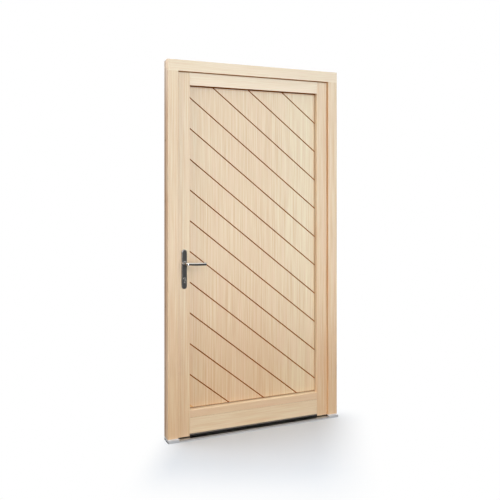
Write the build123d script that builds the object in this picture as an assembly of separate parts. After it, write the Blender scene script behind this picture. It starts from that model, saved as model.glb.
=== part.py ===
from build123d import *
import math
import os

# Panel door in its frame: a solid-wood leaf with a diagonally grooved panel, opening inwards.
# Millimetres. X runs to the right seen from outside, Y runs inwards, Z runs up.
# The origin is on the floor, midway between the jambs, in the plane of the frame's outer face.

# Frame
frame_width = 1083.0
frame_height = 2100.0
frame_depth = 68.0
jamb_face = 61.5
head_face = 63.0
rebate_width = 15.0
wall_step = 3.0
wall_step_from = 34.0
frame_edge_radius = 2.0
fixing_hole_radius = 5.0
fixing_hole_depth_place = 46.0
fixing_end_distance = 380.0
fixing_pair_spacing = 340.0

# Threshold
threshold_height = 11.0
threshold_nose = 15.0
threshold_nose_radius = 2.0
drip_groove_width = 5.0
drip_groove_depth = 2.0
drip_groove_count = 3
drip_groove_pitch = 12.0
shoe_height = 18.0
shoe_nose_height = 15.0

# Leaf
leaf_recess = 14.0
leaf_thickness = 54.0
closing_gap = 5.0
side_gap = 7.0
top_gap = 7.0
floor_gap = 5.0
stile_width = 80.0
top_rail_height = 82.0
lower_board_height = 87.0
upper_board_height = 46.5
water_slope = 3.5
leaf_edge_chamfer = 1.5
board_joint_chamfer = 1.0
board_tongue = 8.0
board_tongue_room = 1.0

# Panel
panel_recess = 22.0
panel_thickness = 22.0
plough_width = 10.0
plough_depth = 12.0
tongue_length = 10.0
shadow_gap = 3.0
groove_angle = 37.9
groove_rise = 171.75
groove_start_height = 1560.4
groove_width = 6.0
groove_floor = 3.5
groove_depth = 4.0
groove_corner_margin = 32.0

# Bottom seal
seal_height = 13.0
seal_proud = 3.0
seal_chamfer = 2.0

# Handle and lock
handle_height = 976.0
lock_backset = 46.0
cylinder_spacing = 85.0
plate_width = 29.0
plate_height = 217.0
plate_thickness = 8.0
plate_above_handle = 77.0
plate_edge_chamfer = 2.5
collar_radius = 11.5
collar_height = 4.0
neck_radius = 9.0
neck_play = 0.3
neck_seat = 5.0
neck_proud = 3.0
spindle_size = 8.0
spindle_hole_radius = 9.0
spindle_grip = 14.0
lever_reach = 50.0
lever_length = 112.5
lever_elbow_radius = 13.0
lever_depth = 11.0
lever_height = 15.6
lever_top_radius = 5.0
lever_under_chamfer = 2.0
lever_dip = 0.8
lever_tip_drop = 2.5
lever_tip_chamfer = 1.2
cylinder_head_radius = 8.5
cylinder_tail_width = 10.0
cylinder_profile_height = 33.0
cylinder_proud = 2.0
cylinder_play = 0.2
forend_width = 20.0
forend_height = 270.0
forend_thickness = 3.0
forend_above_handle = 95.0
latch_above_handle = 28.0
latch_height = 24.0
bolt_below_handle = 60.0
bolt_height = 34.0
bolt_width = 12.0
bolt_length = 30.0
bolt_proud = 1.0
bolt_play = 0.3
strike_width = 24.0
strike_thickness = 2.5
strike_pocket_depth = 18.0
strike_room = 3.0

# Hinges
hinge_end_distance = 210.0
hinge_height = 100.0
hinge_plate_width = 30.0
hinge_plate_thickness = 2.5
hinge_axis_offset = 8.0
knuckle_radius = 7.0
knuckle_gap = 0.5
end_knuckle_height = 30.0
pin_radius = 3.0
pin_play = 0.1

# Places worked out from the sizes above
half_frame = frame_width / 2
opening_side = half_frame - jamb_face
rebate_side = opening_side + rebate_width
opening_top = frame_height - head_face
rebate_top = opening_top + rebate_width
lip_back = leaf_recess - closing_gap
leaf_front = leaf_recess
leaf_back = leaf_front + leaf_thickness
leaf_side = rebate_side - side_gap
leaf_top = rebate_top - top_gap
leaf_bottom = threshold_height + floor_gap
fixing_heights = (
    shoe_height + fixing_end_distance,
    shoe_height + fixing_end_distance + fixing_pair_spacing,
    opening_top - fixing_end_distance - fixing_pair_spacing,
    opening_top - fixing_end_distance,
)
stile_inner = leaf_side - stile_width
rail_bottom = leaf_bottom + seal_height
board_joint = rail_bottom + lower_board_height
panel_bottom = board_joint + upper_board_height
panel_top = leaf_top - top_rail_height
panel_front = leaf_front + panel_recess
panel_back = panel_front + panel_thickness
plough_middle = (panel_front + panel_back) / 2
plough_front = plough_middle - plough_width / 2
plough_back = plough_middle + plough_width / 2
lock_middle_depth = (leaf_front + leaf_back) / 2
handle_side = -(leaf_side - lock_backset)
cylinder_height = handle_height - cylinder_spacing
forend_top = handle_height + forend_above_handle
latch_height_place = handle_height + latch_above_handle
bolt_height_place = handle_height - bolt_below_handle
hinge_heights = {
    "top": leaf_top - hinge_end_distance,
    "middle": (leaf_top + leaf_bottom) / 2,
    "bottom": leaf_bottom + hinge_end_distance,
}
hinge_axis_x = (leaf_side + rebate_side) / 2
hinge_axis_y = leaf_back + hinge_axis_offset
LOCK_SIDE = -1
HINGE_SIDE = 1

parts = {}


def block(x_range, y_range, z_range):
    """A box given by its two ends along each axis, in any order."""
    low = [min(pair) for pair in (x_range, y_range, z_range)]
    high = [max(pair) for pair in (x_range, y_range, z_range)]
    size = [b - a for a, b in zip(low, high)]
    return Pos(*low) * Box(*size, align=(Align.MIN, Align.MIN, Align.MIN))


def upright(outline, z_low, z_high):
    """An outline of (x, y) points, drawn up from one height to another."""
    face = make_face(Polyline(*outline, close=True))
    return extrude(Pos(0, 0, z_low) * face, amount=z_high - z_low)


def lengthwise(outline, x_low, x_high):
    """An outline of (y, z) points, drawn along X."""
    face = make_face(Polyline(*outline, close=True))
    return extrude(Plane.YZ.offset(x_low) * face, amount=x_high - x_low)


def through_depth(face, y_low, y_high):
    """A face drawn in X and Z, drawn along Y."""
    return extrude(Plane.XZ.offset(-y_high) * face, amount=y_high - y_low)


def rod_along_x(radius, x_range, y, z):
    low, high = min(x_range), max(x_range)
    return extrude(Plane.YZ.offset(low) * Pos(y, z) * Circle(radius), amount=high - low)


def rod_along_y(radius, x, y_low, y_high, z):
    face = Pos(x, z) * Circle(radius)
    return through_depth(face, y_low, y_high)


def rod_along_z(radius, x, y, z_low, z_high):
    return extrude(Pos(x, y, z_low) * Circle(radius), amount=z_high - z_low)


# Frame pieces

def jamb_outline(side, front):
    """The jamb's section: stop lip in front, rebate behind it, stepped wall side."""
    corners = [
        (opening_side, front),
        (half_frame, front),
        (half_frame, wall_step_from),
        (half_frame - wall_step, wall_step_from),
        (half_frame - wall_step, frame_depth),
        (rebate_side, frame_depth),
        (rebate_side, lip_back),
        (opening_side, lip_back),
    ]
    return [(side * x, y) for x, y in corners]


def rounding_face(radius):
    """What rounding takes off a corner at the origin whose body lies towards +X and +Y."""
    near = radius * (1 - math.sqrt(0.5))
    arc = ThreePointArc((radius, 0), (near, near), (0, radius))
    return make_face([Line((0, 0), (radius, 0)), arc, Line((0, radius), (0, 0))])


def jamb(side):
    post = upright(jamb_outline(side, 0.0), shoe_height, rebate_top)
    front_edges = post.edges().filter_by(Axis.Z).group_by(Axis.Y)[0]
    post = fillet(front_edges, frame_edge_radius)
    post -= block((side * opening_side, side * half_frame), (0, lip_back), (opening_top, rebate_top))
    for height in fixing_heights:
        span = (side * opening_side, side * half_frame)
        post -= rod_along_x(fixing_hole_radius, span, fixing_hole_depth_place, height)
    return post


def head():
    corners = [
        (0.0, opening_top),
        (lip_back, opening_top),
        (lip_back, rebate_top),
        (frame_depth, rebate_top),
        (frame_depth, frame_height - wall_step),
        (wall_step_from, frame_height - wall_step),
        (wall_step_from, frame_height),
        (0.0, frame_height),
    ]
    beam = lengthwise(corners, -half_frame, half_frame)
    front_edges = beam.faces().sort_by(Axis.Y)[0].edges().sort_by(Axis.Z)
    beam = fillet(front_edges[1:], frame_edge_radius)
    lip_edge = Plane.YZ.offset(-opening_side) * Pos(0, opening_top) * rounding_face(frame_edge_radius)
    beam -= extrude(lip_edge, amount=2 * opening_side)
    for side in (LOCK_SIDE, HINGE_SIDE):
        step = (side * (half_frame - wall_step), side * half_frame)
        beam -= block(step, (wall_step_from, frame_depth), (opening_top, frame_height))
    return beam


def threshold():
    corners = [
        (-threshold_nose, 0.0),
        (frame_depth, 0.0),
        (frame_depth, threshold_height),
        (-threshold_nose, threshold_height),
    ]
    sill = lengthwise(corners, -rebate_side, rebate_side)
    nose_edge = sill.edges().filter_by(Axis.X).group_by(Axis.Y)[0].sort_by(Axis.Z)[-1]
    sill = fillet(nose_edge, threshold_nose_radius)
    first = lip_back + drip_groove_pitch
    for index in range(drip_groove_count):
        start = first + index * drip_groove_pitch
        depth = (threshold_height - drip_groove_depth, threshold_height)
        sill -= block((-rebate_side, rebate_side), (start, start + drip_groove_width), depth)
    for side in (LOCK_SIDE, HINGE_SIDE):
        corner = (side * opening_side, side * rebate_side)
        sill -= block(corner, (-threshold_nose, lip_back), (0, threshold_height))
    return sill


def shoe(side):
    """The end block under a jamb: the jamb's own section, drawn out to the threshold's nose."""
    end = upright(jamb_outline(side, -threshold_nose), 0, shoe_height)
    slope = [(-threshold_nose, shoe_nose_height), (0.0, shoe_height), (-threshold_nose, shoe_height)]
    return end - lengthwise(slope, -half_frame, half_frame)


# Leaf pieces

def stile(side):
    """A full-height stile, ploughed along its inner edge for the panel and the rails' tenons."""
    inner_eased = stile_inner + leaf_edge_chamfer
    outer_eased = leaf_side - leaf_edge_chamfer
    corners = [
        (inner_eased, leaf_front),
        (outer_eased, leaf_front),
        (leaf_side, leaf_front + leaf_edge_chamfer),
        (leaf_side, leaf_back),
        (inner_eased, leaf_back),
        (stile_inner, leaf_back - leaf_edge_chamfer),
        (stile_inner, plough_back),
        (stile_inner + plough_depth, plough_back),
        (stile_inner + plough_depth, plough_front),
        (stile_inner, plough_front),
        (stile_inner, leaf_front + leaf_edge_chamfer),
    ]
    return upright([(side * x, y) for x, y in corners], leaf_bottom, leaf_top)


def tenons(z_low, z_high):
    """The two stub tenons that fill the stiles' plough at a rail's ends."""
    ends = []
    for side in (LOCK_SIDE, HINGE_SIDE):
        span = (side * stile_inner, side * (stile_inner + plough_depth))
        ends.append(block(span, (plough_front, plough_back), (z_low, z_high)))
    return ends


def top_rail():
    corners = [
        (leaf_front, leaf_top),
        (leaf_back, leaf_top),
        (leaf_back, panel_top + leaf_edge_chamfer),
        (leaf_back - leaf_edge_chamfer, panel_top),
        (plough_back, panel_top),
        (plough_back, panel_top + plough_depth),
        (plough_front, panel_top + plough_depth),
        (plough_front, panel_top),
        (leaf_front + leaf_edge_chamfer, panel_top),
        (leaf_front, panel_top + leaf_edge_chamfer),
    ]
    rail = lengthwise(corners, -stile_inner, stile_inner)
    return rail + tenons(panel_top + plough_depth, leaf_top)


def upper_board():
    """The upper board of the bottom rail; its top falls outwards to shed water."""
    eased_front = leaf_front + leaf_edge_chamfer
    sloped_top = panel_bottom - water_slope
    tongue_top = board_joint + board_tongue + board_tongue_room
    corners = [
        (leaf_front, board_joint + board_joint_chamfer),
        (leaf_front + board_joint_chamfer, board_joint),
        (plough_front, board_joint),
        (plough_front, tongue_top),
        (plough_back, tongue_top),
        (plough_back, board_joint),
        (leaf_back - board_joint_chamfer, board_joint),
        (leaf_back, board_joint + board_joint_chamfer),
        (leaf_back, panel_bottom - leaf_edge_chamfer),
        (leaf_back - leaf_edge_chamfer, panel_bottom),
        (plough_back, panel_bottom),
        (plough_back, panel_bottom - plough_depth),
        (plough_front, panel_bottom - plough_depth),
        (plough_front, panel_bottom),
        (eased_front, sloped_top),
        (leaf_front, sloped_top - leaf_edge_chamfer),
    ]
    board = lengthwise(corners, -stile_inner, stile_inner)
    return board + tenons(tongue_top, panel_bottom - plough_depth)


def lower_board():
    corners = [
        (leaf_front, rail_bottom),
        (leaf_back, rail_bottom),
        (leaf_back, board_joint - board_joint_chamfer),
        (leaf_back - board_joint_chamfer, board_joint),
        (plough_back, board_joint),
        (plough_back, board_joint + board_tongue),
        (plough_front, board_joint + board_tongue),
        (plough_front, board_joint),
        (leaf_front + board_joint_chamfer, board_joint),
        (leaf_front, board_joint - board_joint_chamfer),
    ]
    board = lengthwise(corners, -stile_inner, stile_inner)
    return board + tenons(rail_bottom, board_joint + board_tongue)


def groove_cutter(height_at_edge, face_y, outward):
    """A tapered groove falling to the right across one face of the panel."""
    angle = math.radians(groove_angle)
    along = (math.cos(angle), 0, -math.sin(angle))
    across = (math.sin(angle), 0, math.cos(angle))
    reach = 2 * stile_inner / math.cos(angle)
    half = groove_width / 2
    half_floor = groove_floor / 2
    section = [
        (-half, -outward * groove_depth),
        (half, -outward * groove_depth),
        (half, 0.0),
        (half_floor, outward * groove_depth),
        (-half_floor, outward * groove_depth),
        (-half, 0.0),
    ]
    plane = Plane(origin=(-stile_inner, face_y, height_at_edge), x_dir=across, z_dir=along)
    face = make_face(Polyline(*[(u, -v) for u, v in section], close=True))
    return extrude(plane * face, amount=reach)


def groove_heights():
    """Heights at the panel's left edge of every groove that crosses the raised field."""
    fall = 2 * stile_inner * math.tan(math.radians(groove_angle))
    lowest = panel_bottom + shadow_gap + groove_corner_margin
    highest = panel_top - shadow_gap - groove_corner_margin + fall
    first = math.ceil((lowest - groove_start_height) / groove_rise)
    last = math.floor((highest - groove_start_height) / groove_rise)
    return [groove_start_height + index * groove_rise for index in range(first, last + 1)]


def panel():
    """One sheet: a raised, grooved field with a thin tongue all round."""
    reach = stile_inner + tongue_length
    tongue_heights = (panel_bottom - tongue_length, panel_top + tongue_length)
    sheet = block((-reach, reach), (plough_front, plough_back), tongue_heights)
    field_side = stile_inner - shadow_gap
    field_heights = (panel_bottom + shadow_gap, panel_top - shadow_gap)
    sheet += block((-field_side, field_side), (panel_front, panel_back), field_heights)
    cutters = []
    for height in groove_heights():
        cutters.append(groove_cutter(height, panel_front, 1))
        cutters.append(groove_cutter(height, panel_back, -1))
    return sheet - cutters


def bottom_seal():
    front = leaf_front - seal_proud
    corners = [
        (front, leaf_bottom + seal_chamfer),
        (front + seal_chamfer, leaf_bottom),
        (leaf_back, leaf_bottom),
        (leaf_back, rail_bottom),
        (front + seal_chamfer, rail_bottom),
        (front, rail_bottom - seal_chamfer),
    ]
    return lengthwise(corners, -stile_inner, stile_inner)


# Handle and lock pieces

def cylinder_profile(play):
    """The lock cylinder's keyhole-shaped outline, widened by the play."""
    tail_radius = cylinder_tail_width / 2
    tail_drop = cylinder_profile_height - cylinder_head_radius - tail_radius
    outline = Circle(cylinder_head_radius + play)
    outline += Pos(0, -tail_drop / 2) * Rectangle(cylinder_tail_width + 2 * play, tail_drop)
    outline += Pos(0, -tail_drop) * Circle(tail_radius + play)
    return Pos(handle_side, cylinder_height) * outline


def lock_cylinder():
    proud = plate_thickness + cylinder_proud
    return through_depth(cylinder_profile(0.0), leaf_front - proud, leaf_back + proud)


def backplate():
    """The outer plate: long, with round ends, and a raised collar round the lever's neck."""
    middle = handle_height + plate_above_handle - plate_height / 2
    outline = Pos(handle_side, middle) * SlotOverall(plate_height, plate_width, rotation=90)
    front = leaf_front - plate_thickness
    plate = through_depth(outline, front, leaf_front)
    plate = chamfer(plate.faces().sort_by(Axis.Y)[0].edges(), plate_edge_chamfer)
    plate += rod_along_y(collar_radius, handle_side, front - collar_height, front, handle_height)
    neck_hole = neck_radius + neck_play
    plate -= rod_along_y(neck_hole, handle_side, front - collar_height, leaf_front, handle_height)
    return plate - through_depth(cylinder_profile(cylinder_play), front, leaf_front)


def lever_section():
    """The bar's section: flat in front, full round above, with bevelled edges below."""
    bar = Rectangle(lever_depth, lever_height)
    above = bar.vertices().group_by(Axis.Y)[-1]
    bar = fillet(above, lever_top_radius)
    below = bar.vertices().group_by(Axis.Y)[0]
    return chamfer(below, lever_under_chamfer)


def lever():
    """The outer lever: a bar that leaves the plate, turns an elbow and sags a little towards its tip."""
    arm_y = leaf_front - lever_reach
    bend_y = arm_y + lever_elbow_radius
    chord = Vector(lever_length - lever_elbow_radius, 0, -lever_tip_drop)
    slope = 2 * math.atan(2 * lever_dip / chord.length) - math.atan2(chord.Z, chord.X)
    outward = Vector(0, -1, 0)
    along = Vector(math.cos(slope), 0, -math.sin(slope))
    neck_end = leaf_front - plate_thickness - collar_height - neck_proud
    start = Vector(handle_side, neck_end, handle_height)
    bend = Vector(handle_side, bend_y, handle_height)
    bend_middle = bend + along * (lever_elbow_radius * (1 - math.sqrt(0.5)))
    bend_middle += outward * (lever_elbow_radius * math.sqrt(0.5))
    root = bend + (along + outward) * lever_elbow_radius
    below_chord = Vector(chord.Z, 0, -chord.X).normalized()
    dip = root + chord / 2 + below_chord * lever_dip
    tip = root + chord
    path = Line(start, bend) + ThreePointArc(bend, bend_middle, root) + ThreePointArc(root, dip, tip)
    base = Plane(origin=start, x_dir=(1, 0, 0), z_dir=(0, -1, 0))
    bar = sweep(base * lever_section(), path=path)
    tip_face = bar.faces().sort_by(Axis.X)[-1]
    bar = chamfer(tip_face.edges(), lever_tip_chamfer)
    neck_start = leaf_front - plate_thickness + neck_seat
    bar += rod_along_y(neck_radius, handle_side, neck_end, neck_start, handle_height)
    half = spindle_size / 2
    socket = block(
        (handle_side - half, handle_side + half),
        (neck_start - spindle_grip, neck_start),
        (handle_height - half, handle_height + half),
    )
    return bar - socket


def inner_twin(solid):
    """The same piece on the inner face, mirrored across the leaf's middle."""
    return mirror(solid, about=Plane.XZ.offset(-lock_middle_depth))


def spindle():
    half = spindle_size / 2
    reach = plate_thickness - neck_seat + spindle_grip
    return block(
        (handle_side - half, handle_side + half),
        (leaf_front - reach, leaf_back + reach),
        (handle_height - half, handle_height + half),
    )


def forend_window(height, room):
    """Depth and height ranges of a bolt's window, with some room round the bolt."""
    half_width = bolt_width / 2 + room
    depth = (lock_middle_depth - half_width, lock_middle_depth + half_width)
    middle, full = height
    return depth, (middle - full / 2 - room, middle + full / 2 + room)


bolt_windows = ((latch_height_place, latch_height), (bolt_height_place, bolt_height))


def edge_plate_outline(width, height, top):
    """Depth and height ranges of a plate let into an edge on the lock's middle line."""
    depth = (lock_middle_depth - width / 2, lock_middle_depth + width / 2)
    return depth, (top - height, top)


def lock_forend():
    depth, heights = edge_plate_outline(forend_width, forend_height, forend_top)
    plate = block((-leaf_side, -leaf_side + forend_thickness), depth, heights)
    for window in bolt_windows:
        plate -= block((-leaf_side, -leaf_side + forend_thickness), *forend_window(window, bolt_play))
    return plate


def lock_bolt(window):
    depth, heights = forend_window(window, 0.0)
    return block((-leaf_side - bolt_proud, -leaf_side + bolt_length), depth, heights)


def strike_plate():
    depth, heights = edge_plate_outline(strike_width, forend_height, forend_top)
    span = (-rebate_side, -rebate_side - strike_thickness)
    plate = block(span, depth, heights)
    for window in bolt_windows:
        plate -= block(span, *forend_window(window, strike_room))
    return plate


# Hinge pieces

def hinge_half(middle, side_x, plate_x, bands):
    """A plate let into an edge, with a knuckle and its arm in each height band."""
    low, high = middle - hinge_height / 2, middle + hinge_height / 2
    front = leaf_back - hinge_plate_width
    half = block((side_x, plate_x), (front, leaf_back), (low, high))
    for band in bands:
        half += block((side_x, plate_x), (leaf_back, hinge_axis_y), band)
        half += rod_along_z(knuckle_radius, hinge_axis_x, hinge_axis_y, *band)
    return half


def hinge_bands(middle):
    """Height bands of the two frame knuckles and of the leaf knuckle between them."""
    low, high = middle - hinge_height / 2, middle + hinge_height / 2
    ends = ((low, low + end_knuckle_height), (high - end_knuckle_height, high))
    centre = (low + end_knuckle_height + knuckle_gap, high - end_knuckle_height - knuckle_gap)
    return ends, centre


def hinge_frame(middle):
    ends, _ = hinge_bands(middle)
    half = hinge_half(middle, rebate_side, rebate_side + hinge_plate_thickness, ends)
    return half + rod_along_z(pin_radius, hinge_axis_x, hinge_axis_y, ends[0][0], ends[1][1])


def hinge_leaf(middle):
    _, centre = hinge_bands(middle)
    half = hinge_half(middle, leaf_side, leaf_side - hinge_plate_thickness, (centre,))
    return half - rod_along_z(pin_radius + pin_play, hinge_axis_x, hinge_axis_y, *centre)


# Cuts that seat the fittings in the wood

def cut_hinge_seats(solid, side_x, plate_x):
    front = leaf_back - hinge_plate_width
    for middle in hinge_heights.values():
        heights = (middle - hinge_height / 2, middle + hinge_height / 2)
        solid -= block((side_x, plate_x), (front, leaf_back), heights)
    return solid


def cut_lock_seats(solid):
    depth, heights = edge_plate_outline(forend_width, forend_height, forend_top)
    solid -= block((-leaf_side, -leaf_side + forend_thickness), depth, heights)
    for window in bolt_windows:
        solid -= block((-leaf_side, -leaf_side + bolt_length), *forend_window(window, bolt_play))
    solid -= rod_along_y(spindle_hole_radius, handle_side, leaf_front, leaf_back, handle_height)
    return solid - through_depth(cylinder_profile(cylinder_play), leaf_front, leaf_back)


def cut_strike_seat(solid):
    depth, heights = edge_plate_outline(strike_width, forend_height, forend_top)
    solid -= block((-rebate_side, -rebate_side - strike_thickness), depth, heights)
    for window in bolt_windows:
        span = (-rebate_side, -rebate_side - strike_pocket_depth)
        solid -= block(span, *forend_window(window, strike_room))
    return solid


# The assembly

parts["frame_head"] = head()
parts["frame_jamb_lock"] = cut_strike_seat(jamb(LOCK_SIDE))
parts["frame_jamb_hinge"] = cut_hinge_seats(
    jamb(HINGE_SIDE), rebate_side, rebate_side + hinge_plate_thickness
)
parts["threshold"] = threshold()
parts["threshold_shoe_left"] = shoe(LOCK_SIDE)
parts["threshold_shoe_right"] = shoe(HINGE_SIDE)
parts["strike_plate"] = strike_plate()

parts["lock_stile"] = cut_lock_seats(stile(LOCK_SIDE))
parts["hinge_stile"] = cut_hinge_seats(
    stile(HINGE_SIDE), leaf_side, leaf_side - hinge_plate_thickness
)
parts["top_rail"] = top_rail()
parts["bottom_rail_upper"] = upper_board()
parts["bottom_rail_lower"] = lower_board()
parts["door_panel"] = panel()
parts["bottom_seal"] = bottom_seal()

parts["lock_forend"] = lock_forend()
parts["latch_bolt"] = lock_bolt(bolt_windows[0])
parts["dead_bolt"] = lock_bolt(bolt_windows[1])
parts["lock_cylinder"] = lock_cylinder()
parts["backplate_outer"] = backplate()
parts["backplate_inner"] = inner_twin(parts["backplate_outer"])
parts["lever_outer"] = lever()
parts["lever_inner"] = inner_twin(parts["lever_outer"])
parts["handle_spindle"] = spindle()

for place, hinge_middle in hinge_heights.items():
    parts["hinge_frame_" + place] = hinge_frame(hinge_middle)
    parts["hinge_leaf_" + place] = hinge_leaf(hinge_middle)

os.makedirs("parts", exist_ok=True)
for node, shape in parts.items():
    export_step(shape, os.path.join("parts", node + ".step"))
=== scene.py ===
import bmesh
import bpy
import math
from mathutils import Matrix, Vector


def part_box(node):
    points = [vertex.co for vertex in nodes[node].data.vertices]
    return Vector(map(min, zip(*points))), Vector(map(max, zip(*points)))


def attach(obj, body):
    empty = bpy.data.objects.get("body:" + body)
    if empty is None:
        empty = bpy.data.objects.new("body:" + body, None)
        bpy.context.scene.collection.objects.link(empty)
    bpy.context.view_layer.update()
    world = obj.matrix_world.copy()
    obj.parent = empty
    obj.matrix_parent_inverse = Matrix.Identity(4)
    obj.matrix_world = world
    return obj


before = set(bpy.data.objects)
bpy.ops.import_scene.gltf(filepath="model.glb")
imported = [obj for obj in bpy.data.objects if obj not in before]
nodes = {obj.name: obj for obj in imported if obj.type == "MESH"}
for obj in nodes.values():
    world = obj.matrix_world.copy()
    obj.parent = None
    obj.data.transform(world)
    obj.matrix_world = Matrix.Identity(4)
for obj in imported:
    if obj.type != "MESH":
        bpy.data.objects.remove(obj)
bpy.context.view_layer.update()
scene = bpy.context.scene

# A pale pine door under a clear satin coat. Lengths in metres, colours linear.

# Camera, at the photograph's viewing angle
camera_place = (-1.7763, -3.6661, 1.3824)
camera_turn = math.radians(-25.272)
camera_lens = 50.72
camera_shift = -0.1200

# Wood colours
PINE_LIGHT = (0.806, 0.588, 0.357)
PINE_DARK = (0.685, 0.390, 0.190)
PINE_PINK = (0.790, 0.510, 0.315)

# Factors on those: the darker lamella, the wood's own; painted shade in a groove, on its edges, on the
# panel's lower border and on undersides; a painted highlight on upper ledges; warm painted shade
# beside a deep shadow; painted light on the reveal beside the panel; painted shade on the outer sides
LAMELLA_SHADE = (0.600, 0.560, 0.530)
GROOVE_PAINTED_SHADE = (0.440, 0.210, 0.060)
GROOVE_EDGE_PAINTED_SHADE = (1.000, 0.740, 0.380)
BORDER_PAINTED_SHADE = (0.560, 0.430, 0.300)
UNDERSIDE_PAINTED_SHADE = (0.420, 0.230, 0.100)
LEDGE_PAINTED_HIGHLIGHT = (0.920, 1.030, 1.080)
WARM_PAINTED_SHADE = (1.000, 0.800, 0.620)
REVEAL_PAINTED_LIGHT = (1.000, 1.100, 1.220)
OUTER_SIDE_PAINTED_SHADE = (0.840, 0.840, 0.900)

# Paler wood: its axis, where it starts and where it is full, and its factor. Across the panel it is
# sapwood; up the jambs it is painted sheen.
SAPWOOD_SIDE = ("X", 0.05, 0.33, (1.055, 1.170, 1.250))
TOP_PAINTED_SHEEN = ("Z", 1.82, 2.03, (1.045, 1.110, 1.160))

# Tones of single boards, as factors on the wood colours; the paler ones of the head and the rails
# hold painted sheen as well as tone
PLAIN = (1.00, 1.00, 1.00)
PALE_AND_SHEEN = (1.12, 1.28, 1.51)
MILKY_AND_SHEEN = (1.17, 1.34, 1.62)
CREAMY_AND_SHEEN = (1.10, 1.24, 1.40)
ROSY = (1.04, 1.07, 1.14)
SILKY = (1.05, 1.08, 1.11)

# How the grain lies: the axes along it and across the visible face, the scale of its streaks
# and their strength
GRAIN_UP = ("Z", "X", 180.0, 0.74)
GRAIN_ALONG = ("X", "Z", 300.0, 0.44)
mean_streak = 0.37

# Growth rings: their width, how far they wander and bunch, and how sharp and dark the late wood is
ring_width = 0.0042
ring_wander = 0.030
ring_bunching = 0.012
late_sharpness = 3.0
late_dark = 0.20
fibre_dark = 0.12
pink_most = 0.36

# Scales of the noises in the wood, and how much of a board's length each takes in: the less,
# the further it is drawn out along the grain
wander_scale = 9.0
wander_along = 0.05
broad_scale = 26.0
streak_along = 0.012
patch_scale = 24.0
patch_along = 0.12
fibre_scale = 1500.0
fibre_along = 0.02

# Steps from seed to seed, which keep the boards' patterns apart
seed_length = 3.7
seed_width = 0.61
seed_streak = 1.3
seed_patch = 2.1

# A face looks along an axis when its normal's part on that axis passes this
facing_limit = 0.7

# The frame's darker inner lamella starts at a depth, and its outer sides, in painted shade, lie
# within a margin
lamella_depth = 0.034
side_margin = 0.012

# The panel's grooves: their fall to the right, spacing up the panel, one height at its middle,
# half width and the width of the painted shade along its edges, and the skin of the panel below
# which a groove is painted dark as shade
groove_angle = math.radians(37.9)
groove_rise = 0.17175
groove_middle = 1.2428
groove_half = 0.0030
groove_edge = 0.0012
groove_skin = 0.0006

# The panel's raised field stands clear of the rails by a shadow gap, with a border of painted shade
# below and one of warm painted shade above. The lips above leaf and panel have warm painted shade
# along their lower edge between the jambs.
shadow_gap = 0.0030
border_low = 0.0040
border_high = 0.0080
warm_shade_width = 0.0025

# Brushed metal: the scale of its lines and how much of their length they take in, their share of
# the roughness, and the scale and darkness of its clouds
brush_scale = 2600.0
brush_along = 0.03
brush_rough = 0.05
cloud_scale = 35.0
cloud_dim = 0.86

# Rubber, as the darker and the lighter colour of its grit
BLACK_RUBBER = ((0.012, 0.012, 0.012), (0.024, 0.023, 0.022))
BROWN_RUBBER = ((0.560, 0.270, 0.090), (0.640, 0.320, 0.120))

# Parts of a piece in another colour: the threshold's lowest band, pale and not metal as a painted
# light, the upper part of the seal under the leaf as a painted light, the lever's neck in painted
# shade as a factor, and black low on the side faces of the grey shoes' outer ends
THRESHOLD_PAINTED_LIGHT = (0.600, 0.600, 0.600)
SEAL_TOP_PAINTED_LIGHT = (0.130, 0.118, 0.105)
NECK_PAINTED_SHADE = (0.380, 0.380, 0.380)
SHOE_GREY = (0.56, 0.57, 0.59)
SHOE_BLACK = (0.035, 0.034, 0.033)
threshold_lit_height = 0.0065
seal_lit_height = 0.0065
neck_reach = 0.0560
shoe_foot = 0.007
shoe_outside = 0.53

# Screws, with a cross recess
screw_radius = 0.0040
screw_height = 0.0007
recess_floor = 0.0001
cross_arm = 0.0021
cross_half = 0.00045
hinge_side_gap = 0.0070
hinge_screw_depths = (0.008, 0.022)
hinge_screw_heights = (-0.036, 0.036)
edge_screw_inset = 0.008
plate_screw_inset = 0.013

# Lock cylinder's plug and pin, and the ring on the handle plate's collar
plug_radius = 0.0066
plug_height = 0.0009
plug_face = 0.0006
pin_radius = 0.0021
cylinder_head = 0.0085
cylinder_pin_rise = 0.0058
ring_inner = 0.0096
ring_outer = 0.0121
ring_proud = 0.0012
ring_skirt = 0.0020
plate_collar = 0.0040

# Sealing bead behind the frame's lip, whose brown is also painted shade for the line there
seal_gap = 0.0050
seal_half = 0.0022
seal_reach_side = 0.0004
seal_reach_top = 0.0018
seal_root = 0.0030
seal_foot = 0.019

# Edges of the fittings that bend by more than this stay sharp
sharp_angle = math.radians(40.0)

# Floor: its half size and level, how it looks, and the directions along which it fades into white,
# each with the places where the fade starts and ends
floor_reach = 6.0
floor_level = -0.0005
floor_lift = 0.05
FLOOR_SEEN = (0.738, 0.786, 0.845)
FLOOR_UNSEEN = (0.22, 0.22, 0.22)
WHITE = (1.0, 1.0, 1.0)
floor_right = (0.849, -0.528, 0.0)
floor_ahead = (0.528, 0.849, 0.0)
floor_fades = [
    (floor_right, -0.34, -0.56),
    (floor_right, 0.32, 0.68),
    (floor_ahead, -0.50, -1.05),
    (floor_ahead, 0.20, 0.50),
]

# World: its light on surfaces, and for gloss the heights between which dark turns to bright
world_level = 0.60
gloss_start = 0.06
gloss_end = 0.40
gloss_dark = 0.08
gloss_bright = 2.6

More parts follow.
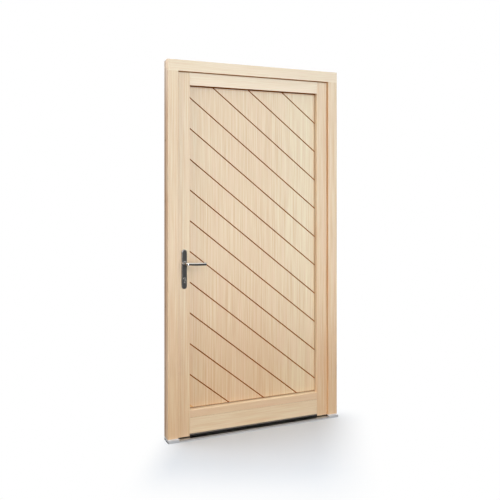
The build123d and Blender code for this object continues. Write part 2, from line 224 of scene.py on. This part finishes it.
# Places that follow from these and from the CAD nodes
groove_slope = math.tan(groove_angle)
groove_spacing = groove_rise * math.cos(groove_angle)
field_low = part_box("bottom_rail_upper")[1].z + shadow_gap
field_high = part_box("top_rail")[0].z - shadow_gap
opening_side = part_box("frame_jamb_hinge")[0].x
outer_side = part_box("frame_jamb_hinge")[1].x - side_margin
head_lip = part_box("frame_head")[0].z + warm_shade_width
rail_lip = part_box("top_rail")[0].z + warm_shade_width
leaf_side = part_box("hinge_stile")[1].x
seal_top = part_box("bottom_seal")[1].z
panel_low, panel_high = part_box("door_panel")
panel_shade_depths = (panel_low.y + groove_skin, panel_high.y - groove_skin)
spindle_low, spindle_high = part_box("handle_spindle")
turn_x = (spindle_low.x + spindle_high.x) / 2
turn_y = (spindle_low.y + spindle_high.y) / 2
turn_z = (spindle_low.z + spindle_high.z) / 2
cylinder_low, cylinder_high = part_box("lock_cylinder")
plug_z = cylinder_high.z - cylinder_head
pin_z = cylinder_low.z + cylinder_pin_rise
cylinder_fronts = {"outer": cylinder_low.y, "inner": cylinder_high.y}
collar_fronts = {"outer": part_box("backplate_outer")[0].y, "inner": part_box("backplate_inner")[1].y}
outward = {"outer": (0, -1, 0), "inner": (0, 1, 0)}


class Graph:
    """The node tree of a material or world, with short calls that add a node and join it up."""

    def __init__(self, owner, shader="Principled BSDF"):
        owner.use_nodes = True
        self.owner = owner
        self.tree = owner.node_tree
        self.shader = self.tree.nodes[shader]

    def add(self, kind, inputs=None, **settings):
        node = self.tree.nodes.new(kind)
        for key, value in settings.items():
            setattr(node, key, value)
        for key, value in (inputs or {}).items():
            self.feed(node.inputs[key], value)
        return node

    def feed(self, socket, value):
        if isinstance(value, bpy.types.NodeSocket):
            self.tree.links.new(value, socket)
        elif isinstance(value, tuple) and socket.type == "RGBA":
            socket.default_value = (*value, 1.0)
        else:
            socket.default_value = value

    def math(self, operation, first, second=0.0, third=0.0):
        node = self.add("ShaderNodeMath", {0: first, 1: second, 2: third}, operation=operation)
        return node.outputs[0]

    def both(self, first, second):
        return self.math("MULTIPLY", first, second)

    def under(self, value, limit):
        return self.math("LESS_THAN", value, limit)

    def over(self, value, limit):
        return self.math("GREATER_THAN", value, limit)

    def size(self, value):
        return self.math("ABSOLUTE", value)

    def coordinates(self, kind):
        return self.add("ShaderNodeTexCoord").outputs[kind]

    def place(self):
        return self.coordinates("Object")

    def split(self, vector):
        node = self.add("ShaderNodeSeparateXYZ", {0: vector})
        return dict(zip("XYZ", node.outputs))

    def join(self, x, y, z):
        return self.add("ShaderNodeCombineXYZ", {0: x, 1: y, 2: z}).outputs[0]

    def noise(self, vector, scale, detail=2.0, roughness=0.5):
        values = {"Vector": vector, "Scale": scale, "Detail": detail, "Roughness": roughness}
        return self.add("ShaderNodeTexNoise", values).outputs["Fac"]

    def span(self, value, low, high, new_low=0.0, new_high=1.0, kind="LINEAR"):
        values = {0: value, 1: low, 2: high, 3: new_low, 4: new_high}
        return self.add("ShaderNodeMapRange", values, interpolation_type=kind).outputs[0]

    def mix(self, factor, first, second):
        """Mixes two numbers."""
        return self.add("ShaderNodeMix", {0: factor, 2: first, 3: second}).outputs[0]

    def blend(self, factor, first, second, kind="MIX"):
        """Blends two colours."""
        values = {0: factor, 6: first, 7: second}
        return self.add("ShaderNodeMix", values, data_type="RGBA", blend_type=kind).outputs[2]

    def tint(self, factor, colour, by):
        """Multiplies a colour by another where the factor says."""
        return self.blend(factor, colour, self.blend(1.0, colour, by, "MULTIPLY"))

    def bump(self, height, distance, strength):
        values = {"Height": height, "Distance": distance, "Strength": strength}
        return self.add("ShaderNodeBump", values).outputs[0]

    def seen(self):
        """1 for rays from the camera, straight or through something clear."""
        path = self.add("ShaderNodeLightPath").outputs
        return self.math("MAXIMUM", path["Is Camera Ray"], path["Is Transmission Ray"])

    def set(self, **values):
        for key, value in values.items():
            self.feed(self.shader.inputs[key.replace("_", " ")], value)


def pine(graph, axes, grain, seed, pith):
    """Straight-grained pine: growth rings round a far pith, streaks and fine fibres along the grain.
    Returns the colour, and the late wood, streaks and fibres in it."""
    along, across, pitch, strength = grain
    length = graph.math("ADD", axes[along], seed * seed_length)
    width = graph.math("ADD", axes[across], seed * seed_width)
    depth = axes["Y"]

    slow = graph.math("MULTIPLY", length, wander_along)
    wander = graph.noise(graph.join(width, depth, slow), wander_scale)
    drift = graph.math("MULTIPLY_ADD", wander, ring_wander, width)
    from_pith = graph.math("SUBTRACT", drift, seed * seed_width + pith[0])
    into_pith = graph.math("SUBTRACT", depth, pith[1])
    squares = [graph.math("POWER", side, 2.0) for side in (from_pith, into_pith)]
    radius = graph.math("SQRT", graph.math("ADD", *squares))

    lines = graph.join(radius, seed * seed_streak, graph.math("MULTIPLY", length, streak_along))
    broad = graph.noise(lines, broad_scale)
    streak = graph.noise(lines, pitch, roughness=0.7)
    spots = graph.join(radius, seed * seed_patch, graph.math("MULTIPLY", length, patch_along))
    patch = graph.noise(spots, patch_scale)
    pace = graph.math("MULTIPLY_ADD", broad, ring_bunching, radius)
    ring = graph.math("FRACT", graph.math("DIVIDE", pace, ring_width))
    late = graph.math("POWER", ring, late_sharpness)
    threads = graph.join(width, depth, graph.math("MULTIPLY", length, fibre_along))
    fibre = graph.noise(threads, fibre_scale, roughness=0.6)

    palest = mean_streak - strength / 2
    shade = graph.math("MULTIPLY_ADD", graph.span(streak, 0.38, 0.62), strength, palest)
    shade = graph.math("MULTIPLY_ADD", late, late_dark, shade)
    shade = graph.math("MULTIPLY_ADD", graph.span(fibre, 0.3, 0.7), fibre_dark, shade)
    colour = graph.blend(shade, PINE_LIGHT, PINE_DARK)
    colour = graph.blend(graph.span(patch, 0.48, 0.66, 0.0, pink_most), colour, PINE_PINK)
    return colour, late, streak, fibre


def grooved(graph, axes, colour, shade_depths):
    """Paints shade into the panel's grooves, along their edges and on its borders. Returns the colour
    and where the grooves are painted dark.
    """
    start, end = shade_depths
    shaded_part = graph.both(graph.over(axes["Y"], start), graph.under(axes["Y"], end))
    climb = graph.math("MULTIPLY_ADD", axes["X"], groove_slope, axes["Z"])
    turns = graph.math("DIVIDE", graph.math("SUBTRACT", climb, groove_middle), groove_rise)
    aside = graph.size(graph.math("SUBTRACT", turns, graph.math("ROUND", turns)))
    from_groove = graph.math("MULTIPLY", aside, groove_spacing)
    near = graph.span(from_groove, groove_half, groove_half + groove_edge, 1.0, 0.0)
    # Painted shade along the grooves' edges
    colour = graph.tint(near, colour, GROOVE_EDGE_PAINTED_SHADE)
    # Painted shade on the field's lower border
    colour = graph.tint(graph.under(axes["Z"], field_low + border_low), colour, BORDER_PAINTED_SHADE)
    # Warm painted shade on the field's upper border
    colour = graph.tint(graph.over(axes["Z"], field_high - border_high), colour, WARM_PAINTED_SHADE)
    # Painted shade on the grooves' floors and sides
    return graph.tint(shaded_part, colour, GROOVE_PAINTED_SHADE), shaded_part


def wood(name, grain, seed, pith, tone=PLAIN, dark_behind=None, milled=None, sapwood_and_sheen=None, warm_shade_below=None):
    """Coated pine. dark_behind is the depth past which a darker lamella starts, and milled the two
    depths between which the surface is the floor or side of a groove, painted dark as shade. sapwood
    says where the wood is paler: sapwood across the panel, painted sheen up the jambs. warm_shade_below is
    the height of a lip's lower edge in warm painted shade. Undersides get painted shade and upper
    ledges a painted highlight."""
    graph = Graph(bpy.data.materials.new(name))
    axes = graph.split(graph.place())
    normal = graph.split(graph.coordinates("Normal"))
    colour, late, streak, fibre = pine(graph, axes, grain, seed, pith)
    colour = graph.blend(1.0, colour, tone, "MULTIPLY")
    shaded_part = None
    if sapwood_and_sheen is not None:
        # Paler wood: sapwood across the panel, painted sheen up the jambs
        axis, start, full, factor = sapwood_and_sheen
        colour = graph.tint(graph.span(axes[axis], start, full), colour, factor)
    if warm_shade_below is not None:
        # Warm painted shade along a lip's lower edge, between the jambs
        inside = graph.under(graph.size(axes["X"]), opening_side)
        colour = graph.tint(graph.both(inside, graph.under(axes["Z"], warm_shade_below)), colour, WARM_PAINTED_SHADE)
    if dark_behind is not None:
        colour = graph.tint(graph.over(axes["Y"], dark_behind), colour, LAMELLA_SHADE)

    if grain == GRAIN_ALONG:
        # Painted shade on undersides, which also lose their coat
        shaded_part = graph.under(normal["Z"], -facing_limit)
        colour = graph.tint(shaded_part, colour, UNDERSIDE_PAINTED_SHADE)
        # Painted highlight on upper ledges
        colour = graph.tint(graph.over(normal["Z"], facing_limit), colour, LEDGE_PAINTED_HIGHLIGHT)
    elif dark_behind is not None:
        # Painted shade on the frame's outer sides
        sideways = graph.over(graph.size(normal["X"]), facing_limit)
        outer = graph.over(graph.size(axes["X"]), outer_side)
        colour = graph.tint(graph.both(sideways, outer), colour, OUTER_SIDE_PAINTED_SHADE)
    elif milled is None:
        # Painted light on the stiles' faces that look left, as on the reveal beside the panel
        colour = graph.tint(graph.under(normal["X"], -facing_limit), colour, REVEAL_PAINTED_LIGHT)
    else:
        colour, shaded_part = grooved(graph, axes, colour, milled)

    graph.set(
        Base_Color=colour,
        Roughness=graph.span(streak, 0.2, 0.8, 0.46, 0.58),
        Normal=graph.bump(graph.math("MULTIPLY_ADD", late, 0.5, fibre), 0.00012, 0.35),
        Coat_Weight=1.0,
        Coat_Roughness=0.30,
        Coat_IOR=1.5,
    )
    if shaded_part is not None:
        coated = graph.math("SUBTRACT", 1.0, shaded_part)
        graph.set(Coat_Weight=coated, Specular_IOR_Level=graph.math("MULTIPLY", coated, 0.5))
    return graph.owner


def metal(name, colour, roughness, brushed_along, foot=None, neck_shade=None):
    """Satin metal with fine brush lines along one axis. foot is the height below which it is painted
    light, pale and not metal, and dull a depth and the reach either side of it within which the metal
    is darkened as painted shade."""
    graph = Graph(bpy.data.materials.new(name))
    axes = graph.split(graph.place())
    shares = [brush_along if axis == brushed_along else 1.0 for axis in "XYZ"]
    scaled = [graph.math("MULTIPLY", axes[axis], share) for axis, share in zip("XYZ", shares)]
    lines = graph.noise(graph.join(*scaled), brush_scale, 3.0, 0.7)
    cloud = graph.noise(graph.place(), cloud_scale)
    dim = tuple(cloud_dim * part for part in colour)
    clouded = graph.blend(graph.span(cloud, 0.3, 0.7), colour, dim)
    if neck_shade is not None:
        from_middle = graph.size(graph.math("SUBTRACT", axes["Y"], neck_shade[0]))
        # Painted shade on the lever's neck
        clouded = graph.tint(graph.under(from_middle, neck_shade[1]), clouded, NECK_PAINTED_SHADE)
    graph.set(
        Base_Color=clouded,
        Metallic=1.0,
        Roughness=graph.math("MULTIPLY_ADD", lines, brush_rough, roughness - brush_rough / 2),
        Normal=graph.bump(lines, 0.00002, 0.25),
    )
    if foot is not None:
        # Painted light: the lowest band is pale and not metal
        low = graph.under(axes["Z"], foot)
        graph.set(
            Base_Color=graph.blend(low, clouded, THRESHOLD_PAINTED_LIGHT),
            Metallic=graph.math("SUBTRACT", 1.0, low),
        )
    return graph.owner


def rubber(name, colours, lit_above=None):
    """Matt rubber, with a painted light of grey above a height when one is given."""
    graph = Graph(bpy.data.materials.new(name))
    grit = graph.noise(graph.place(), 900.0, 3.0, 0.6)
    colour = graph.blend(graph.span(grit, 0.3, 0.7), *colours)
    if lit_above is not None:
        # Painted light: the upper part is grey
        high = graph.over(graph.split(graph.place())["Z"], lit_above)
        colour = graph.blend(high, colour, SEAL_TOP_PAINTED_LIGHT)
    graph.set(
        Base_Color=colour,
        Roughness=graph.span(grit, 0.2, 0.8, 0.70, 0.85),
        Specular_IOR_Level=0.05,
        Normal=graph.bump(grit, 0.00008, 0.3),
    )
    return graph.owner


def shoe_plastic(name):
    """Light grey plastic, black low on the side faces of the outer ends."""
    graph = Graph(bpy.data.materials.new(name))
    axes = graph.split(graph.place())
    grain = graph.noise(graph.place(), 1400.0, 3.0, 0.6)
    sideways = graph.over(graph.size(graph.split(graph.coordinates("Normal"))["X"]), facing_limit)
    outside = graph.over(graph.size(axes["X"]), shoe_outside)
    low = graph.under(axes["Z"], shoe_foot)
    black = graph.both(graph.both(sideways, outside), low)
    graph.set(
        Base_Color=graph.blend(black, SHOE_GREY, SHOE_BLACK),
        Roughness=graph.span(grain, 0.2, 0.8, 0.34, 0.46),
        Normal=graph.bump(grain, 0.00003, 0.3),
    )
    return graph.owner


def wear(node_name, material):
    """Gives a CAD node its material."""
    mesh = nodes[node_name].data
    mesh.materials.clear()
    mesh.materials.append(material)


# Each wooden piece's grain, seed and pith, and what else sets it apart
wood_pieces = {
    "frame_head": (GRAIN_ALONG, 1.0, (0.30, 0.16), PALE_AND_SHEEN, lamella_depth, None, None, head_lip),
    "frame_jamb_lock": (GRAIN_UP, 2.0, (0.22, 0.12), PLAIN, lamella_depth, None, TOP_PAINTED_SHEEN),
    "frame_jamb_hinge": (GRAIN_UP, 3.0, (-0.24, 0.14), PLAIN, lamella_depth, None, TOP_PAINTED_SHEEN),
    "lock_stile": (GRAIN_UP, 4.0, (0.26, -0.10), SILKY),
    "hinge_stile": (GRAIN_UP, 5.0, (-0.20, -0.12), PLAIN),
    "top_rail": (GRAIN_ALONG, 6.0, (2.32, 0.18), MILKY_AND_SHEEN, None, None, None, rail_lip),
    "bottom_rail_upper": (GRAIN_ALONG, 7.0, (0.38, 0.20), ROSY),
    "bottom_rail_lower": (GRAIN_ALONG, 8.0, (-0.06, 0.30), CREAMY_AND_SHEEN),
    "door_panel": (GRAIN_UP, 9.0, (0.95, 0.20), PLAIN, None, panel_shade_depths, SAPWOOD_SIDE),
}
for piece, traits in wood_pieces.items():
    wear(piece, wood(piece + "_pine", *traits))

lever_steel = metal("lever_satin_steel", (0.40, 0.39, 0.37), 0.15, "X", neck_shade=(turn_y, neck_reach))
plate_steel = metal("plate_dark_steel", (0.29, 0.29, 0.285), 0.30, "Z")
lock_steel = metal("lock_brushed_steel", (0.58, 0.58, 0.57), 0.32, "Z")
hinge_steel = metal("hinge_brushed_steel", (0.60, 0.60, 0.59), 0.34, "Z")
nickel = metal("cylinder_satin_nickel", (0.66, 0.64, 0.60), 0.24, "X")
aluminium = metal("threshold_satin_aluminium", (0.30, 0.285, 0.270), 0.32, "X", foot=threshold_lit_height)
ring_steel = metal("ring_polished_steel", (0.54, 0.53, 0.51), 0.12, "X")
screw_zinc = metal("screw_bright_zinc", (0.60, 0.59, 0.56), 0.28, "X")
seal_black = rubber("seal_black_rubber", BLACK_RUBBER, seal_top - seal_lit_height)
seal_brown = rubber("seal_brown_rubber", BROWN_RUBBER)
# The keyway's black floor is painted shade for its depth
keyway_painted_shade = rubber("keyway_painted_shade", BLACK_RUBBER)
shoe = shoe_plastic("shoe_grey_plastic")

hardware_pieces = {
    lever_steel: ["lever_outer", "lever_inner"],
    plate_steel: ["backplate_outer", "backplate_inner"],
    lock_steel: ["lock_forend", "latch_bolt", "dead_bolt", "strike_plate", "handle_spindle"],
    nickel: ["lock_cylinder"],
    aluminium: ["threshold"],
    seal_black: ["bottom_seal"],
    shoe: ["threshold_shoe_left", "threshold_shoe_right"],
    hinge_steel: [name for name in nodes if name.startswith(("hinge_frame", "hinge_leaf"))],
}
for material, names in hardware_pieces.items():
    for name in names:
        wear(name, material)


# Small fittings, built as meshes and placed by the CAD nodes' boxes

CROSS = [
    (cross_half, cross_arm), (-cross_half, cross_arm), (-cross_half, cross_half),
    (-cross_arm, cross_half), (-cross_arm, -cross_half), (-cross_half, -cross_half),
    (-cross_half, -cross_arm), (cross_half, -cross_arm), (cross_half, -cross_half),
    (cross_arm, -cross_half), (cross_arm, cross_half), (cross_half, cross_half),
]
KEYWAY = [
    (-0.0011, 0.0040), (0.0011, 0.0040), (0.0011, 0.0014), (0.0004, 0.0006), (0.0011, -0.0004),
    (0.0011, -0.0040), (-0.0003, -0.0040), (-0.0003, -0.0010), (-0.0011, 0.0002),
]


def standing(place, axis):
    """The matrix that stands a fitting's own +Z along an axis, at a place."""
    turn = Vector((0, 0, 1)).rotation_difference(Vector(axis))
    return Matrix.Translation(place) @ turn.to_matrix().to_4x4()


def loop_of(bm, where, points):
    return [bm.verts.new(where @ Vector(point)) for point in points]


def wall(bm, lower, upper):
    """Faces between two loops of the same length. Returns the faces."""
    faces = []
    for i in range(len(lower)):
        after = (i + 1) % len(lower)
        faces.append(bm.faces.new((lower[i], lower[after], upper[after], upper[i])))
    return faces


def turned(bm, where, profile, steps):
    """Loops and walls of a profile of (radius, height) points turned round its axis. Returns the loops."""
    angles = [2.0 * math.pi * step / steps for step in range(steps)]
    loops = []
    for radius, height in profile:
        circle = [(radius * math.cos(a), radius * math.sin(a), height) for a in angles]
        loops.append(loop_of(bm, where, circle))
    for lower, upper in zip(loops, loops[1:]):
        wall(bm, lower, upper)
    return loops


def recessed(bm, where, rim, outline, top, floor_material=0):
    """Closes a rim by a flat face with a sunk outline in it."""
    edge = loop_of(bm, where, [(x, y, top) for x, y in outline])
    sunk = loop_of(bm, where, [(x, y, recess_floor) for x, y in outline])
    around = [bm.edges.get((rim[i - 1], rim[i])) for i in range(len(rim))]
    around += [bm.edges.new((edge[i - 1], edge[i])) for i in range(len(edge))]
    bmesh.ops.triangle_fill(bm, use_beauty=True, edges=around)
    inside = wall(bm, sunk, edge) + [bm.faces.new(sunk)]
    for face in inside:
        face.material_index = floor_material


def screw(bm, place, axis):
    """A low round head with a cross recess."""
    where = standing(place, axis)
    profile = [
        (screw_radius, 0.0),
        (0.97 * screw_radius, 0.6 * screw_height),
        (0.80 * screw_radius, screw_height),
    ]
    loops = turned(bm, where, profile, 24)
    recessed(bm, where, loops[-1], CROSS, screw_height)
    bm.faces.new(loops[0])


def end_screws(bm, place, axis, heights):
    """Screws at two heights of an upright plate."""
    for height in heights:
        screw(bm, (*place, height), axis)


def collar_ring(bm, place, axis):
    """A polished ring over a plate's collar, round the lever's neck."""
    profile = [
        (ring_outer, -ring_skirt),
        (ring_outer, 0.4 * ring_proud),
        (0.97 * ring_outer, 0.85 * ring_proud),
        (0.92 * ring_outer, ring_proud),
        (1.05 * ring_inner, ring_proud),
        (ring_inner, 0.6 * ring_proud),
        (ring_inner, 0.0),
    ]
    loops = turned(bm, standing(place, axis), profile, 48)
    wall(bm, loops[-1], loops[0])


def cylinder_plug(bm, place, axis):
    """The turning plug of the lock with its keyway."""
    where = standing(place, axis)
    profile = [
        (plug_radius, 0.0),
        (0.97 * plug_radius, 0.75 * plug_height),
        (0.92 * plug_radius, plug_height),
        (0.87 * plug_radius, plug_height),
        (0.83 * plug_radius, plug_face),
    ]
    loops = turned(bm, where, profile, 40)
    recessed(bm, where, loops[-1], KEYWAY, plug_face, 1)
    bm.faces.new(loops[0])


def cylinder_pin(bm, place, axis):
    """The round end of the pin that guards the cylinder."""
    curve = [math.radians(angle) for angle in (0, 25, 50, 75)]
    profile = [(pin_radius * math.cos(a), 0.5 * pin_radius * math.sin(a)) for a in curve]
    loops = turned(bm, standing(place, axis), profile, 20)
    bm.faces.new(loops[-1])
    bm.faces.new(loops[0])


def frame_seal(bm):
    """A brown sealing bead behind the frame's lip, up one jamb, along the head and down the other.
    Its brown is also painted shade for the line between the lip and the leaf.
    """
    lip_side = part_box("frame_jamb_hinge")[0].x
    lip_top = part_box("frame_head")[0].z
    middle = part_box("lock_stile")[0].y - seal_gap / 2
    arc = [math.radians(angle) for angle in range(-90, 91, 30)]
    section = [(seal_half * 0.5 * math.cos(a), middle + seal_half * math.sin(a)) for a in arc]
    section = [(-seal_root, middle - seal_half)] + section + [(-seal_root, middle + seal_half)]
    loops = []
    for side, at_top in ((-1, False), (-1, True), (1, True), (1, False)):
        points = []
        for reach, depth in section:
            height = lip_top - seal_reach_top - reach if at_top else seal_foot
            points.append((side * (lip_side - seal_reach_side - reach), depth, height))
        loops.append(loop_of(bm, Matrix(), points))
    for lower, upper in zip(loops, loops[1:]):
        wall(bm, lower, upper)
    bm.faces.new(loops[0])
    bm.faces.new(loops[-1])


def hinge_screws(half, face_x, axis):
    """Places screws on one half of all three hinges, whose plates lie flush in the wood at face_x."""
    def add(bm):
        for level in ("top", "middle", "bottom"):
            low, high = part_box("hinge_" + half + "_" + level)
            for depth in hinge_screw_depths:
                for rise in hinge_screw_heights:
                    screw(bm, (face_x, low.y + depth, (low.z + high.z) / 2 + rise), axis)
    return add


def lock_screws(bm):
    """The screws of the lock's forend and of the inner handle plate."""
    low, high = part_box("lock_forend")
    heights = (low.z + edge_screw_inset, high.z - edge_screw_inset)
    end_screws(bm, (low.x, (low.y + high.y) / 2), (-1, 0, 0), heights)
    low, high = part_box("backplate_inner")
    heights = (low.z + plate_screw_inset, high.z - plate_screw_inset)
    end_screws(bm, ((low.x + high.x) / 2, high.y - plate_collar), (0, 1, 0), heights)


def strike_screws(bm):
    """The screws of the strike plate."""
    low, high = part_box("strike_plate")
    heights = (low.z + edge_screw_inset, high.z - edge_screw_inset)
    end_screws(bm, (high.x, (low.y + high.y) / 2), (1, 0, 0), heights)


def fitting(name, body, materials, add):
    """Makes one piece from what add puts into its mesh."""
    bm = bmesh.new()
    add(bm)
    bmesh.ops.recalc_face_normals(bm, faces=bm.faces)
    mesh = bpy.data.meshes.new(name)
    bm.to_mesh(mesh)
    bm.free()
    mesh.shade_smooth()
    mesh.set_sharp_from_angle(angle=sharp_angle)
    for material in materials:
        mesh.materials.append(material)
    piece = bpy.data.objects.new(name, mesh)
    scene.collection.objects.link(piece)
    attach(piece, body)
    return piece


collar_rings = []
cylinder_ends = []
for face in ("outer", "inner"):
    collar_rings.append(fitting(
        "collar_ring_" + face, "leaf", [ring_steel],
        lambda bm: collar_ring(bm, (turn_x, collar_fronts[face], turn_z), outward[face])))
    cylinder_ends.append(fitting(
        "cylinder_plug_" + face, "leaf", [nickel, keyway_painted_shade],
        lambda bm: cylinder_plug(bm, (turn_x, cylinder_fronts[face], plug_z), outward[face])))
    cylinder_ends.append(fitting(
        "cylinder_pin_" + face, "leaf", [ring_steel],
        lambda bm: cylinder_pin(bm, (turn_x, cylinder_fronts[face], pin_z), outward[face])))
frame_half = hinge_screws("frame", leaf_side + hinge_side_gap, (-1, 0, 0))
leaf_half = hinge_screws("leaf", leaf_side, (1, 0, 0))
other_fittings = [
    fitting("hinge_screws_frame", "frame", [screw_zinc], frame_half),
    fitting("hinge_screws_leaf", "leaf", [screw_zinc], leaf_half),
    fitting("lock_screws", "leaf", [screw_zinc], lock_screws),
    fitting("strike_screws", "frame", [screw_zinc], strike_screws),
    fitting("frame_seal", "frame", [seal_brown], frame_seal),
]


# Floor, light and camera

def studio_floor():
    """A pale floor that keeps the object's shadow and fades into the white behind it."""
    graph = Graph(bpy.data.materials.new("studio_floor"))
    kept = 1.0
    for direction, start, end in floor_fades:
        values = {0: graph.place(), 1: direction}
        along = graph.add("ShaderNodeVectorMath", values, operation="DOT_PRODUCT").outputs["Value"]
        kept = graph.math("MULTIPLY", kept, graph.span(along, start, end, 1.0, 0.0, "SMOOTHSTEP"))
    seen = graph.seen()
    graph.set(
        Base_Color=graph.blend(seen, FLOOR_UNSEEN, FLOOR_SEEN),
        Roughness=0.9,
        Specular_IOR_Level=0.0,
        Emission_Color=WHITE,
        Emission_Strength=graph.math("MULTIPLY", seen, floor_lift),
    )
    fade = graph.both(graph.math("SUBTRACT", 1.0, kept), seen)
    white = graph.add("ShaderNodeEmission", {"Color": WHITE, "Strength": 1.0}).outputs[0]
    shown = graph.add("ShaderNodeMixShader", {0: fade, 1: graph.shader.outputs[0], 2: white}).outputs[0]
    graph.feed(graph.tree.nodes["Material Output"].inputs["Surface"], shown)

    signs = [(-1, -1), (1, -1), (1, 1), (-1, 1)]
    corners = [(floor_reach * x, floor_reach * y, floor_level) for x, y in signs]
    mesh = bpy.data.meshes.new("floor")
    mesh.from_pydata(corners, [], [(0, 1, 2, 3)])
    mesh.materials.append(graph.owner)
    floor = bpy.data.objects.new("floor", mesh)
    scene.collection.objects.link(floor)
    return floor


def studio_world():
    """White where the camera sees it, even light on surfaces, and for gloss bright above and dark ahead."""
    scene.world = bpy.data.worlds.new("studio")
    # Every ray that meets this world knows its own kind, so the lamps alone are sampled directly.
    scene.world.cycles.sampling_method = "NONE"
    graph = Graph(scene.world, "Background")
    height = graph.split(graph.coordinates("Generated"))["Z"]
    gloss = graph.span(height, gloss_start, gloss_end, gloss_dark, gloss_bright, "SMOOTHSTEP")
    is_gloss = graph.add("ShaderNodeLightPath").outputs["Is Glossy Ray"]
    unseen = graph.mix(is_gloss, world_level, gloss)
    graph.set(Color=WHITE, Strength=graph.mix(graph.seen(), unseen, 1.0))


def softbox(name, place, target, size, power, spread=180.0):
    """A rectangular lamp aimed at a target, its power in watts and its spread in degrees."""
    lamp = bpy.data.lights.new(name, "AREA")
    lamp.shape = "RECTANGLE"
    lamp.size, lamp.size_y = size
    lamp.energy = power
    lamp.spread = math.radians(spread)
    box = bpy.data.objects.new(name, lamp)
    box.visible_camera = False
    box.location = place
    box.rotation_euler = (Vector(target) - Vector(place)).to_track_quat("-Z", "Y").to_euler()
    scene.collection.objects.link(box)
    return box


def keep_off(box, things):
    """Keeps a lamp's light off some objects."""
    skipped = bpy.data.collections.new(box.name + "_skips")
    for thing in things:
        skipped.objects.link(thing)
    for member in skipped.collection_objects:
        member.light_linking.link_state = "EXCLUDE"
    box.light_linking.receiver_collection = skipped


floor = studio_floor()
studio_world()
key = softbox("key_softbox", (0.6, -5.6, 3.6), (-0.22, 0.0, -1.4), (2.4, 2.4), 21.5, 54.0)
left = softbox("left_softbox", (-4.8, -1.0, 2.0), (-0.5, 0.0, 1.0), (2.0, 2.0), 105.0)
sheen = softbox("sheen_softbox", (1.5, -3.0, 1.65), (1.5, 0.0, 1.65), (4.4, 3.3), 172.0)
crown = softbox("crown_softbox", (1.5, -3.05, 2.75), (1.5, 0.0, 2.75), (4.4, 1.2), 9.0)
catch = softbox("catch_softbox", (-2.6, -5.0, 0.6), (-0.44, 0.0, 0.97), (2.6, 1.4), 90.0)
back = softbox("back_softbox", (2.6, 4.2, 3.0), (0.0, 0.0, 0.9), (2.4, 2.4), 120.0)
ceiling = softbox("ceiling_softbox", (-0.5, 0.75, 6.0), (-0.5, 0.75, 0.0), (4.0, 1.5), 205.0)
sheen.data.color = (0.85, 1.0, 0.97)
key.visible_glossy = False
for box in (sheen, crown, catch):
    box.visible_diffuse = False

# The catch light falls on the levers and the cylinder's ends alone
hardware = [nodes[name] for names in hardware_pieces.values() for name in names]
hardware += collar_rings + cylinder_ends + other_fittings
boards = [nodes[name] for name in wood_pieces]
caught = [nodes[name] for name in hardware_pieces[lever_steel]] + cylinder_ends
for box in (key, left, back):
    keep_off(box, [floor])
for box in (sheen, crown):
    keep_off(box, [floor] + hardware)
keep_off(catch, [floor] + boards + [thing for thing in hardware if thing not in caught])
keep_off(ceiling, hardware + boards)

camera = bpy.data.objects.new("camera", bpy.data.cameras.new("camera"))
camera.data.lens = camera_lens
camera.data.shift_y = camera_shift
camera.location = camera_place
camera.rotation_euler = (math.radians(90.0), 0.0, camera_turn)
scene.collection.objects.link(camera)
scene.camera = camera
scene.view_settings.view_transform = "Standard"
